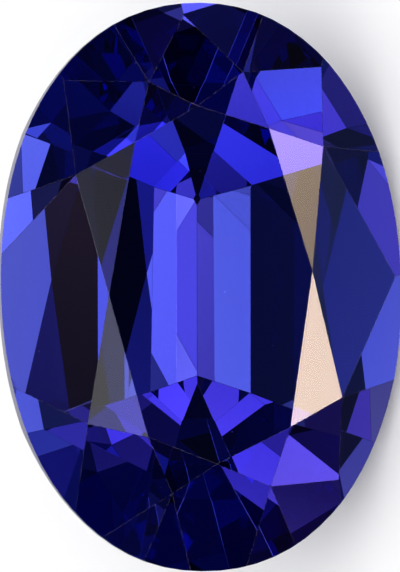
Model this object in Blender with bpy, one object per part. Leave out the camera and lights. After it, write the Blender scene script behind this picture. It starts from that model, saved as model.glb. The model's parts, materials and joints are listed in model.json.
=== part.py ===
"""An oval tanzanite: brilliant-style crown, deep girdle, and a stepped pavilion that closes in a keel line.

The stone is cut in its own frame, in millimetres: x across the oval, y along it, z up through the table,
and z = 0 on the upper edge of the girdle. It is then turned to lie on the long side facet of its pavilion,
with y along world X.
"""

import math

import bmesh
import bpy
from mathutils import Matrix, Vector

MM = 0.001

# The outline is a superellipse, |x / HALF_WIDTH|^FULLNESS + |y / HALF_LENGTH|^FULLNESS = 1, turned
# anticlockwise by OUTLINE_TWIST degrees.
HALF_WIDTH = 5.02
HALF_LENGTH = 7.11
FULLNESS = 2.14
OUTLINE_TWIST = 1.5
OUTLINE_SIDES = 96

GIRDLE_DEPTH = 0.92
CROWN_HEIGHT = 1.202

KEEL_X = 0.10
KEEL_NORTH = 2.21
KEEL_SOUTH = -2.21
KEEL_DEPTH = 4.88

# Anticlockwise from +x. The eight corners of the hand-cut table differ a little from one another.
DIRECTIONS = ("E", "NE", "N", "NW", "W", "SW", "S", "SE")
TABLE_CORNERS = {
    "E": (2.673, 0.386),
    "NE": (1.587, 3.943),
    "N": (-0.202, 4.505),
    "NW": (-1.768, 3.596),
    "W": (-2.418, -0.212),
    "SW": (-1.437, -3.761),
    "S": (0.278, -4.423),
    "SE": (2.114, -3.503),
}
# The lower tip of each star facet, named by the first of the two table corners that it lies between.
STAR_TIPS = {
    "E": (2.975, 3.501, 0.912),
    "NE": (0.966, 5.355, 0.865),
    "N": (-1.387, 5.102, 0.888),
    "NW": (-3.227, 2.781, 0.912),
    "W": (-2.919, -3.421, 0.844),
    "SW": (-0.814, -5.158, 0.897),
    "S": (1.655, -4.987, 0.875),
    "SE": (3.441, -2.768, 0.953),
}
# Azimuths in degrees: where each bezel facet's tip meets the girdle, and where the two upper halves after
# it part.
GIRDLE_TIPS = {
    "E": (3.8, 37.1),
    "NE": (61.9, 77.1),
    "N": (94.1, 108.5),
    "NW": (123.5, 155.5),
    "W": (180.1, 207.5),
    "SW": (242.5, 258.1),
    "S": (273.9, 290.0),
    "SE": (303.1, 334.3),
}

# Pavilion: the way each facet faces and its slope, in degrees, for the first two steps up from the keel, how
# high above the first step's foot the second one begins, and the slope of the last step, which rises to the
# girdle.
PAVILION = {
    "E": ((0.0, 38.8), (0.0, 43.9), 1.04, 49.4),
    "NE": ((46.4, 42.3), (46.7, 46.7), 1.06, 47.9),
    "N": ((87.4, 39.6), (87.5, 44.3), 0.96, 49.4),
    "NW": ((124.2, 39.4), (125.4, 41.8), 0.88, 50.7),
    "W": ((180.0, 33.2), (179.8, 39.0), 0.79, 49.4),
    "SW": ((233.9, 37.3), (232.4, 43.7), 0.87, 46.7),
    "S": ((271.3, 39.4), (271.2, 43.7), 0.76, 45.3),
    "SE": ((315.4, 40.2), (314.7, 44.1), 0.98, 46.2),
}
# The first south facet begins a little beyond the keel's end, on the edge between its two neighbours.
SOUTH_FACET_FOOT = (0.09, -2.37, -4.79)

SNAP = 1e-4
TANZANITE = (0.045, 0.035, 0.42, 1.0)
TANZANITE_IOR = 1.70


def outline_point(azimuth):
    """Point of the girdle outline at an azimuth in degrees, on z = 0."""
    along_x = math.cos(math.radians(azimuth - OUTLINE_TWIST))
    along_y = math.sin(math.radians(azimuth - OUTLINE_TWIST))
    share = abs(along_x / HALF_WIDTH) ** FULLNESS + abs(along_y / HALF_LENGTH) ** FULLNESS
    return compass(azimuth) * share ** (-1 / FULLNESS)


def farthest(direction):
    """Outline point that lies farthest in a direction."""
    return max((outline_point(step / 2) for step in range(720)), key=direction.dot)


def compass(azimuth):
    """Horizontal direction at an azimuth in degrees, anticlockwise from +x."""
    return Vector((math.cos(math.radians(azimuth)), math.sin(math.radians(azimuth)), 0))


def facet_through(first, second, third):
    """Plane through three points, as a point and a normal that leads away from the stone's middle."""
    normal = (second - first).cross(third - first).normalized()
    if normal.dot(first) < 0:
        normal.negate()
    return first, normal


def crown_facets():
    """Table, star facets, bezel facets and the pairs of upper halves."""
    corners = {name: Vector((*TABLE_CORNERS[name], CROWN_HEIGHT)) for name in DIRECTIONS}
    stars = {name: Vector(STAR_TIPS[name]) for name in DIRECTIONS}
    facets = [(Vector((0, 0, CROWN_HEIGHT)), Vector((0, 0, 1)))]
    for before, name, after in zip(DIRECTIONS[-1:] + DIRECTIONS, DIRECTIONS, DIRECTIONS[1:] + DIRECTIONS[:1]):
        facets.append(facet_through(corners[name], corners[after], stars[name]))
        facets.append(facet_through(corners[name], stars[before], stars[name]))
        tip, parting = (outline_point(azimuth) for azimuth in GIRDLE_TIPS[name])
        next_tip = outline_point(GIRDLE_TIPS[after][0])
        facets.append(facet_through(stars[name], tip, parting))
        facets.append(facet_through(stars[name], parting, next_tip))
    return facets


def pavilion_facet(azimuth, slope):
    """Outward normal of a facet that faces down and out, in degrees."""
    return compass(azimuth) * math.sin(math.radians(slope)) - Vector((0, 0, math.cos(math.radians(slope))))


def pavilion_facets():
    """Three steps in each direction. The last step rises to the lower edge of the girdle."""
    north = Vector((KEEL_X, KEEL_NORTH, -KEEL_DEPTH))
    south = Vector((KEEL_X, KEEL_SOUTH, -KEEL_DEPTH))
    facets = []
    for name, (first, second, rise, last_slope) in PAVILION.items():
        foot = north if "N" in name else south
        if name == "S":
            foot = Vector(SOUTH_FACET_FOOT)
        facets.append((foot, pavilion_facet(*first)))
        run = rise / math.tan(math.radians(first[1]))
        facets.append((foot + compass(first[0]) * run + Vector((0, 0, rise)), pavilion_facet(*second)))
        rim = farthest(compass(second[0])) - Vector((0, 0, GIRDLE_DEPTH))
        facets.append((rim, pavilion_facet(second[0], last_slope)))
    return facets


def cut(stone, point, normal):
    """Grind a flat facet: what lies beyond the plane goes, and the cut is closed with one face."""
    everything = stone.verts[:] + stone.edges[:] + stone.faces[:]
    bmesh.ops.bisect_plane(
        stone, geom=everything, dist=SNAP, plane_co=point, plane_no=normal, clear_outer=True
    )
    rim = [edge for edge in stone.edges if edge.is_boundary]
    if rim:
        bmesh.ops.edgeloop_fill(stone, edges=rim)


def preform():
    """Tall prism with the girdle's outline."""
    stone = bmesh.new()
    azimuths = [360 * i / OUTLINE_SIDES for i in range(OUTLINE_SIDES)]
    lower = [stone.verts.new(outline_point(azimuth) - Vector((0, 0, 2 * KEEL_DEPTH))) for azimuth in azimuths]
    bottom = stone.faces.new(reversed(lower))
    top = bmesh.ops.extrude_face_region(stone, geom=[bottom], use_keep_orig=True)["geom"]
    raised = [item for item in top if isinstance(item, bmesh.types.BMVert)]
    bmesh.ops.translate(stone, verts=raised, vec=Vector((0, 0, 4 * KEEL_DEPTH)))
    bmesh.ops.recalc_face_normals(stone, faces=stone.faces[:])
    return stone


def resting_turn(facets):
    """Rotation that lays the east facet of the second step flat, with the stone's length along world X."""
    down = facets[1][1]
    up = -down
    along = (Vector((0, 1, 0)) - up * up.y).normalized()
    return Matrix((along, up.cross(along), up)).to_4x4()


def tanzanite():
    material = bpy.data.materials.new("tanzanite")
    material.use_nodes = True
    shader = material.node_tree.nodes["Principled BSDF"]
    shader.inputs["Base Color"].default_value = TANZANITE
    shader.inputs["Metallic"].default_value = 0.0
    shader.inputs["Roughness"].default_value = 0.02
    shader.inputs["IOR"].default_value = TANZANITE_IOR
    material.diffuse_color = TANZANITE
    return material


def build():
    for obj in list(bpy.data.objects):
        bpy.data.objects.remove(obj)
    stone = preform()
    pavilion = pavilion_facets()
    for point, normal in crown_facets() + pavilion:
        cut(stone, point, normal)
    bmesh.ops.transform(stone, matrix=resting_turn(pavilion), verts=stone.verts[:])
    low = Vector([min(vert.co[axis] for vert in stone.verts) for axis in range(3)])
    high = Vector([max(vert.co[axis] for vert in stone.verts) for axis in range(3)])
    foot = Vector(((low.x + high.x) / 2, (low.y + high.y) / 2, low.z))
    bmesh.ops.translate(stone, verts=stone.verts[:], vec=-foot)
    bmesh.ops.scale(stone, verts=stone.verts[:], vec=Vector((MM, MM, MM)))
    mesh = bpy.data.meshes.new("stone")
    stone.to_mesh(mesh)
    stone.free()
    mesh.materials.append(tanzanite())
    bpy.context.scene.collection.objects.link(bpy.data.objects.new("stone", mesh))


build()
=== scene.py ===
import json
import math

import bmesh
import bpy
import numpy as np
from mathutils import Matrix, Vector


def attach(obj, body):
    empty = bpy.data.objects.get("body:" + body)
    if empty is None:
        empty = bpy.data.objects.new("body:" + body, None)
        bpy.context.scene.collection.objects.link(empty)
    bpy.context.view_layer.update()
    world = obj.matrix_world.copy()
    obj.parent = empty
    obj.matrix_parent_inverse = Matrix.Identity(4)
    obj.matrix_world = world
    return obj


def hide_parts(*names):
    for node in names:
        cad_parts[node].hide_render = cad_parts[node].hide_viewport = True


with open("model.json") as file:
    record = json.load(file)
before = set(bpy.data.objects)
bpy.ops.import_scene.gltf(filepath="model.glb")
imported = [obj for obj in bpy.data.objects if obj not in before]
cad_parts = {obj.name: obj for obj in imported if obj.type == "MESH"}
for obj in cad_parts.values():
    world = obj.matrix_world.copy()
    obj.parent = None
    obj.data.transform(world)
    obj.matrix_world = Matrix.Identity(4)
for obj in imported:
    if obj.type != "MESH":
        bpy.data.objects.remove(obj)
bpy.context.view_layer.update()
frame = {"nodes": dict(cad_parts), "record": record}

MM = 0.001
TABLE = Vector(next(m["axis"] for m in frame["record"]["mounts"] if m["name"] == "table")).normalized()

# The camera looks nearly square onto the table, and the stone's length runs up the picture. Its axis leans
# this far to the stone's west and south.
LEAN_WEST = math.radians(5.10)
LEAN_SOUTH = math.radians(0.55)
FRAME_HEIGHT = 14.3 * MM
LENS_MM = 900
SENSOR_MM = 36
AIM = Vector((0.024, -0.292, 3.756)) * MM
NEAREST_SEEN = 1 * MM
FARTHEST_SEEN = 10.0

# No cut edge is razor sharp: wear has ground a flat of this width along each, and nicked the keel's north
# end. Lengths here and in the functions that grind the stone are in millimetres.
EDGE_WEAR = 0.009
KEEL_NICK = 0.05
WELD = 1e-4
SNAP = 1e-5

# Triangles that turn less than SAME_FACET are one facet. A face that turns more than NEW_FACET from every
# facet was made by wear. An edge that turns less than LEAST_WORN_TURN has no flat. The cosine between a girdle
# face's normal and the table's is below SQUARE.
SAME_FACET = math.radians(0.2)
NEW_FACET = math.radians(0.5)
LEAST_WORN_TURN = math.radians(1.5)
SQUARE = 0.02

# Tanzanite takes up this much red, green and blue light a metre, so a few millimetres of it are violet blue.
TANZANITE_IOR = 1.70
ABSORPTION_PER_M = (200, 180, 24)
CLEAR = "#ffffff"
PALE_LAVENDER = "#dcd6ff"
POLISHED, WORN, GROUND = range(3)
WORN_ROUGHNESS = 0.2
WORN_HAZE = 0.04
GROUND_ROUGHNESS = 0.35
GROUND_HAZE = 0.2

# Dust on the facets and grain of the ground girdle, in millimetres. The grain is drawn coarser than it is,
# so that it shows.
DUST_SPACING = 0.55
DUST_RADIUS = 0.02
DUST_ROUGHNESS = 0.5
GRAIN = 0.05
GRAIN_DETAIL = 3.0
GRAIN_SPREAD = 0.4

CARD_WHITE = "#f8f8fa"
CARD_ROUGHNESS = 0.9
FLOOR_HALF = 1.5
FLOOR_GAP = 0.02 * MM
TENT_RADIUS = 1.4
TENT_SUBDIVISIONS = 7
DAYLIGHT = 1.2
LIGHT_BOUNCES = 24

# Tints of the lights.
WHITE = "#ffffff"
WARM = "#ffe1bf"
AMBER = "#ffbcad"
ROSE = "#ffcef6"
PINK = "#ffbcf9"
LILAC = "#daceff"
VIOLET = "#b395ff"
BLUE = "#7c90ff"

# Each soft light: degrees off the camera's axis, degrees clockwise from the top of the picture, spread in
# degrees, strength and colour.
LIGHTS = [
    # From the right: the two long star facets there mirror the warm ones, and the bezel between them mirrors
    # the blue.
    (33, 95, 3, 13, WARM),
    (36, 70, 3, 8.5, WARM),
    (69, 87, 3, 2.7, BLUE),
    (100, 80, 20, 0.7, BLUE),
    # From both sides, nearer the camera: the pavilion's long facets send these up as the bright bands.
    (25, 270, 6, 2.3, WHITE),
    (41, 278, 3, 3.3, ROSE),
    (25, 85, 3, 1.1, WHITE),
    (46, 90, 3, 1.8, ROSE),
    (34, 98, 6, 1.2, BLUE),
    (22, 100, 3, 0.7, PINK),
    (22, 44, 3, 0.6, PINK),
    (15, 92, 3, 0.2, BLUE),
    (7, 345, 3, 0.25, BLUE),
    # The lower star facet on the left mirrors this one.
    (17, 230, 4, 2, WHITE),
    # Low from the bottom of the picture: the pavilion's upper corners turn these towards the camera.
    (97, 185, 5, 8.5, LILAC),
    (90, 150, 3, 4, WHITE),
    (90, 166, 4, 2, ROSE),
    (90, 143, 12, 0.5, PINK),
    (78, 182, 3, 4, VIOLET),
    (73, 154, 3, 2.5, PINK),
    (71, 175, 3, 2.5, BLUE),
    (70, 168, 4, 4, AMBER),
    (58, 200, 3, 1.5, WHITE),
    # Low from the top of the picture: the same for the lower corners.
    (89, 10, 8, 2, PINK),
    (85, 22, 3, 4, AMBER),
    (77, 356, 3, 2.5, PINK),
    (76, 340, 3, 0.6, VIOLET),
    (70, 0, 3, 1.5, PINK),
    (70, 32, 3, 1, WARM),
    (67, 352, 3, 0.7, ROSE),
    (58, 340, 3, 0.7, WHITE),
    # The rounded ends: a flash at the upper one, and a faint blue glow in both.
    (31, 10, 3, 13, WARM),
    (16, 340, 3, 1.4, WHITE),
    (19, 170, 6, 0.12, BLUE),
    (60, 315, 16, 0.07, BLUE),
    (84, 236, 20, 0.25, BLUE),
    (140, 300, 20, 0.2, BLUE),
    # Behind the stone: the ground girdle catches it as a pale strip on the left.
    (170, 280, 8, 1.4, WHITE),
]


def linear(hex_colour):
    """sRGB hex to linear RGBA."""
    channels = [int(hex_colour[i:i + 2], 16) / 255 for i in (1, 3, 5)]
    return [c / 12.92 if c <= 0.04045 else ((c + 0.055) / 1.055) ** 2.4 for c in channels] + [1.0]


def add_node(tree, kind, settings=None, **links):
    """Adds a node, sets its properties and plain socket values, and links sockets given as (node, output)."""
    node = tree.nodes.new(kind)
    for name, value in (settings or {}).items():
        if name in node.inputs:
            node.inputs[name].default_value = value
        else:
            setattr(node, name, value)
    for name, (source, output) in links.items():
        tree.links.new(source.outputs[output], node.inputs[name.replace("_", " ")])
    return node


def empty_material(name):
    material = bpy.data.materials.new(name)
    material.use_nodes = True
    material.node_tree.nodes.clear()
    return material, material.node_tree


def add_object(name, data):
    added = bpy.data.objects.new(name, data)
    bpy.context.scene.collection.objects.link(added)
    return added


def view_axes():
    """Right, up and towards-the-camera axes of the main view, in world coordinates."""
    north = (Vector((1, 0, 0)) - TABLE * TABLE.x).normalized()
    east = north.cross(TABLE)
    back = (TABLE - east * math.tan(LEAN_WEST) - north * math.tan(LEAN_SOUTH)).normalized()
    right = (east - back * back.dot(east)).normalized()
    return right, back.cross(right), back


RIGHT, UP, BACK = view_axes()


def make_camera():
    lens = bpy.data.cameras.new("camera")
    lens.lens = LENS_MM
    lens.sensor_width = SENSOR_MM
    lens.clip_start = NEAREST_SEEN
    lens.clip_end = FARTHEST_SEEN
    camera = add_object("camera", lens)
    distance = FRAME_HEIGHT * LENS_MM / SENSOR_MM
    turn = Matrix((RIGHT, UP, BACK)).transposed()
    camera.matrix_world = Matrix.Translation(AIM + BACK * distance) @ turn.to_4x4()
    bpy.context.scene.camera = camera


def is_girdle(normal):
    return abs(normal.dot(TABLE)) < SQUARE


def cut(stone, point, normal):
    """Grind one flat: what lies beyond the plane goes, and one face closes the cut."""
    everything = stone.verts[:] + stone.edges[:] + stone.faces[:]
    bmesh.ops.bisect_plane(
        stone, geom=everything, dist=SNAP, plane_co=point, plane_no=normal, clear_outer=True
    )
    rim = [edge for edge in stone.edges if edge.is_boundary]
    if rim:
        bmesh.ops.edgeloop_fill(stone, edges=rim)


def nick(stone):
    """Chip off the keel's north end with one flat, which faces the mean way of the facets that meet there.

    The keel's two ends are the points that lie deepest below the table.
    """
    keel = sorted(stone.verts, key=lambda vert: vert.co.dot(TABLE))[:2]
    end = max(keel, key=lambda vert: vert.co.x)
    outward = sum((face.normal for face in end.link_faces), Vector()).normalized()
    cut(stone, end.co - outward * KEEL_NICK, outward)
    stone.normal_update()


def wear(stone):
    """Grind a narrow flat along every edge between two facets, but for the girdle's edges.

    Across an edge whose facets turn by an angle t, a flat of width w lies w / 2 * tan(t / 2) below it.
    """
    flats = []
    for edge in stone.edges:
        one, other = (face.normal for face in edge.link_faces)
        turn = one.angle(other)
        if turn < LEAST_WORN_TURN or is_girdle(one) or is_girdle(other):
            continue
        across = (one + other).normalized()
        middle = (edge.verts[0].co + edge.verts[1].co) / 2
        flats.append((middle - across * EDGE_WEAR / 2 * math.tan(turn / 2), across))
    for point, across in flats:
        cut(stone, point, across)
    stone.normal_update()


def ground_stone():
    """Copy of the solid in millimetres, with its triangles merged to facets and then chipped and worn."""
    stone = bmesh.new()
    stone.from_mesh(frame["nodes"]["stone"].data)
    bmesh.ops.scale(stone, verts=stone.verts[:], vec=Vector((1, 1, 1)) / MM)
    bmesh.ops.remove_doubles(stone, verts=stone.verts[:], dist=WELD)
    bmesh.ops.dissolve_limit(stone, angle_limit=SAME_FACET, verts=stone.verts[:], edges=stone.edges[:])
    stone.normal_update()
    facets = [face.normal.copy() for face in stone.faces]
    nick(stone)
    wear(stone)
    for face in stone.faces:
        face.material_index = POLISHED
        if is_girdle(face.normal):
            face.material_index = GROUND
        elif max(face.normal.dot(facet) for facet in facets) < math.cos(NEW_FACET):
            face.material_index = WORN
    return stone


def make_stone():
    mesh = bpy.data.meshes.new("tanzanite")
    stone = ground_stone()
    bmesh.ops.scale(stone, verts=stone.verts[:], vec=Vector((MM, MM, MM)))
    stone.to_mesh(mesh)
    stone.free()
    # Polished facets are clear and mirror their surroundings.
    mesh.materials.append(tanzanite("polished tanzanite", grind=0.0, haze=0.0))
    # Worn edges are lightly frosted, and show as thin soft lines.
    mesh.materials.append(tanzanite("worn tanzanite edge", grind=WORN_ROUGHNESS, haze=WORN_HAZE))
    # The girdle is left as the lap ground it, so it looks silky and pale.
    mesh.materials.append(tanzanite("ground tanzanite girdle", grind=GROUND_ROUGHNESS, haze=GROUND_HAZE))
    piece = add_object("tanzanite", mesh)
    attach(piece, "root")
    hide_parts("stone")


def dusty(tree, place):
    """Roughness of a polished facet: none, but for round specks of dust, one to a cell of the spacing."""
    cells = add_node(tree, "ShaderNodeTexVoronoi", {
        "Scale": 1 / (DUST_SPACING * MM),
    }, Vector=(place, "Object"))
    return add_node(tree, "ShaderNodeMapRange", {
        "From Min": DUST_RADIUS / DUST_SPACING,
        "From Max": 0.0,
        "To Min": 0.0,
        "To Max": DUST_ROUGHNESS,
    }, Value=(cells, "Distance"))


def grainy(tree, place, grind):
    """Roughness of a ground surface: the value given, which the grain raises and lowers by a share."""
    grain = add_node(tree, "ShaderNodeTexNoise", {
        "Scale": 1 / (GRAIN * MM),
        "Detail": GRAIN_DETAIL,
    }, Vector=(place, "Object"))
    return add_node(tree, "ShaderNodeMapRange", {
        "To Min": (1 - GRAIN_SPREAD) * grind,
        "To Max": (1 + GRAIN_SPREAD) * grind,
    }, Value=(grain, "Fac"))


def tanzanite(name, grind, haze):
    """Zoisite, heated to violet blue and cut: clear, with the colour taken up on the light's way through it.

    Grind is the roughness of a ground surface, or zero for a polished one. Haze is the share of the light
    that the surface scatters.
    """
    material, tree = empty_material(name)
    place = add_node(tree, "ShaderNodeTexCoord")
    rough = grainy(tree, place, grind) if grind else dusty(tree, place)
    surface = add_node(tree, "ShaderNodeBsdfPrincipled", {
        "Base Color": linear(PALE_LAVENDER if haze else CLEAR),
        "IOR": TANZANITE_IOR,
        "Transmission Weight": 1 - haze,
    }, Roughness=(rough, "Result"))
    density = max(ABSORPTION_PER_M)
    volume = add_node(tree, "ShaderNodeVolumeAbsorption", {
        "Color": [1 - share / density for share in ABSORPTION_PER_M] + [1.0],
        "Density": density,
    })
    add_node(tree, "ShaderNodeOutputMaterial", Surface=(surface, "BSDF"), Volume=(volume, "Volume"))
    return material


def matt_card():
    """Matt white card, which shows no mirror image."""
    material, tree = empty_material("matt white card")
    surface = add_node(tree, "ShaderNodeBsdfPrincipled", {
        "Base Color": linear(CARD_WHITE),
        "Roughness": CARD_ROUGHNESS,
    })
    add_node(tree, "ShaderNodeOutputMaterial", Surface=(surface, "BSDF"))
    return material


def make_floor():
    """Pale card that the stone lies on. The stone doesn't mirror it, and shows only the tent."""
    mesh = bpy.data.meshes.new("floor")
    signs = ((-1, -1), (1, -1), (1, 1), (-1, 1))
    corners = [(x * FLOOR_HALF, y * FLOOR_HALF, -FLOOR_GAP) for x, y in signs]
    mesh.from_pydata(corners, [], [(0, 1, 2, 3)])
    mesh.materials.append(matt_card())
    floor = add_object("floor", mesh)
    floor.visible_glossy = False
    floor.visible_transmission = False


def tent_glow(directions):
    """Linear colour of the tent in each direction: the sum of the lights' soft lobes.

    A light of strength s and spread w, in radians, adds s * exp((cos(t) - 1) / w ** 2) of its colour at an
    angle t from its middle.
    """
    glow = np.zeros((len(directions), 4))
    for tilt, clock, spread, strength, colour in LIGHTS:
        off_axis, around = math.radians(tilt), math.radians(clock)
        sideways = RIGHT * math.sin(around) + UP * math.cos(around)
        middle = np.array(BACK * math.cos(off_axis) + sideways * math.sin(off_axis))
        fall = np.exp((directions @ middle - 1) / math.radians(spread) ** 2)
        glow += fall[:, None] * strength * np.array(linear(colour))
    return glow


def tent_cloth():
    """White cloth lit from behind, so that it glows as its attribute says."""
    material, tree = empty_material("white tent cloth")
    cloth = add_node(tree, "ShaderNodeAttribute", {"attribute_name": "glow"})
    light = add_node(tree, "ShaderNodeEmission", Color=(cloth, "Color"))
    add_node(tree, "ShaderNodeOutputMaterial", Surface=(light, "Emission"))
    material.cycles.emission_sampling = "NONE"
    return material


def make_tent():
    """Round tent that the stone mirrors and bends. It throws no light on the floor and isn't seen itself."""
    shell = bmesh.new()
    bmesh.ops.create_icosphere(shell, subdivisions=TENT_SUBDIVISIONS, radius=TENT_RADIUS)
    mesh = bpy.data.meshes.new("light tent")
    shell.to_mesh(mesh)
    shell.free()
    places = np.empty(3 * len(mesh.vertices))
    mesh.vertices.foreach_get("co", places)
    directions = places.reshape(-1, 3)
    directions = directions / np.linalg.norm(directions, axis=1)[:, None]
    glow = mesh.color_attributes.new("glow", "FLOAT_COLOR", "POINT")
    glow.data.foreach_set("color", tent_glow(directions).ravel())
    mesh.materials.append(tent_cloth())
    tent = add_object("light_tent", mesh)
    tent.visible_camera = False
    tent.visible_diffuse = False
    tent.visible_shadow = False


def make_world():
    """Even white surroundings, which light the floor."""
    world = bpy.data.worlds.new("studio")
    world.use_nodes = True
    background = world.node_tree.nodes["Background"]
    background.inputs["Color"].default_value = linear(WHITE)
    background.inputs["Strength"].default_value = DAYLIGHT
    bpy.context.scene.world = world


def set_rendering():
    """Plain colours, and enough bounces for light that the facets turn many times."""
    scene = bpy.context.scene
    scene.view_settings.view_transform = "Standard"
    scene.cycles.max_bounces = LIGHT_BOUNCES
    scene.cycles.glossy_bounces = LIGHT_BOUNCES
    scene.cycles.transmission_bounces = LIGHT_BOUNCES


make_stone()
make_floor()
make_camera()
make_tent()
make_world()
set_rendering()
